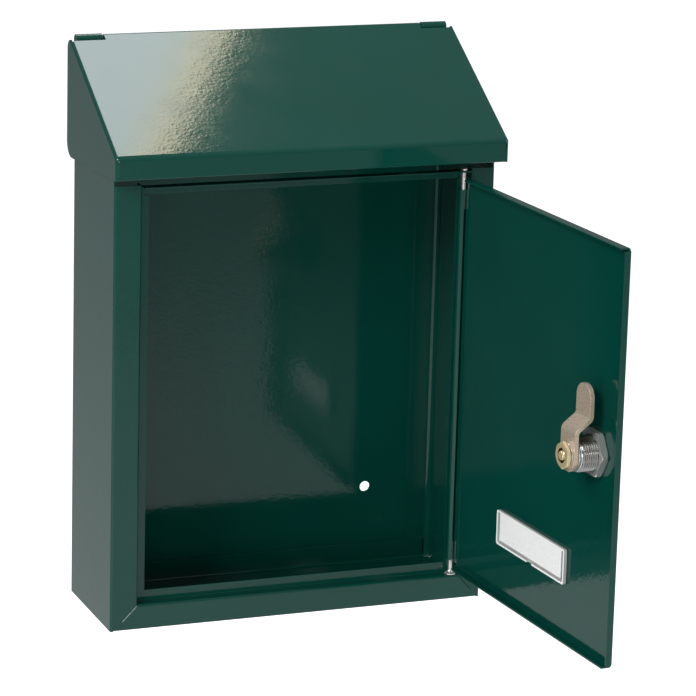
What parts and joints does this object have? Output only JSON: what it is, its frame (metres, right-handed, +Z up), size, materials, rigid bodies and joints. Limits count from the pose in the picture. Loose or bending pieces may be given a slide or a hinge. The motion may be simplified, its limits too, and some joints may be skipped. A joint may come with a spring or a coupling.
{
  "type": "wall mounted mailbox",
  "caption": "Sheet metal wall mailbox with a sloping lid over the letter slot, a side hinged front door standing open, a cam lock and a name plate.",
  "frame": {"origin": "middle of the back plate's rear face, half way up the box, in the plane of the wall", "axes": "+X to the right seen from the front, +Y into the wall, +Z up; the front faces -Y"},
  "size_m": [0.2208, 0.2569, 0.312],
  "materials": {
    "green_paint": "glossy green powder coat with fine orange peel",
    "bright_steel": "bright zinc plate",
    "cast_lock": "nickel plated die casting",
    "cam_steel": "satin nickel plate",
    "brass": "plain brass",
    "white_plastic": "satin white moulding",
    "clear_plastic": "clear plastic",
    "card": "blank paper card"
  },
  "bodies": {
    "box": {"back_panel": "green_paint", "side_panel_left": "green_paint", "side_panel_right": "green_paint", "bottom_panel": "green_paint", "top_rail": "green_paint", "hinge_pin_upper": "bright_steel", "hinge_pin_lower": "bright_steel", "lid_hinge_rod": "bright_steel"},
    "lid": {"lid_cover": "green_paint"},
    "door": {"door_panel": "green_paint", "lock_housing": "cast_lock", "lock_nut": "cast_lock", "nameplate_frame": "white_plastic", "nameplate_window": "clear_plastic", "name_card": "card", "nameplate_holder": "white_plastic"},
    "cam": {"lock_plug": "cast_lock", "cam_stop_washer": "bright_steel", "lock_cam": "cam_steel", "cam_star_washer": "bright_steel", "cam_nut": "brass"}
  },
  "joints": [
    {"name": "lid_hinge", "type": "hinge", "parent": "box", "child": "lid", "pos_m": [0, -0.0026, 0.1534], "axis": [-1, 0, 0], "range_deg": [0, 60]},
    {"name": "door_hinge", "type": "hinge", "parent": "box", "child": "door", "pos_m": [0.0905, -0.07555, -0.028], "axis": [0, 0, 1], "range_deg": [-94, 16]},
    {"name": "lock_turn", "type": "hinge", "parent": "door", "child": "cam", "pos_m": [0.10145, -0.23217, -0.028], "axis": [0.9976, 0.0698, 0], "range_deg": [0, 90]}
  ]
}
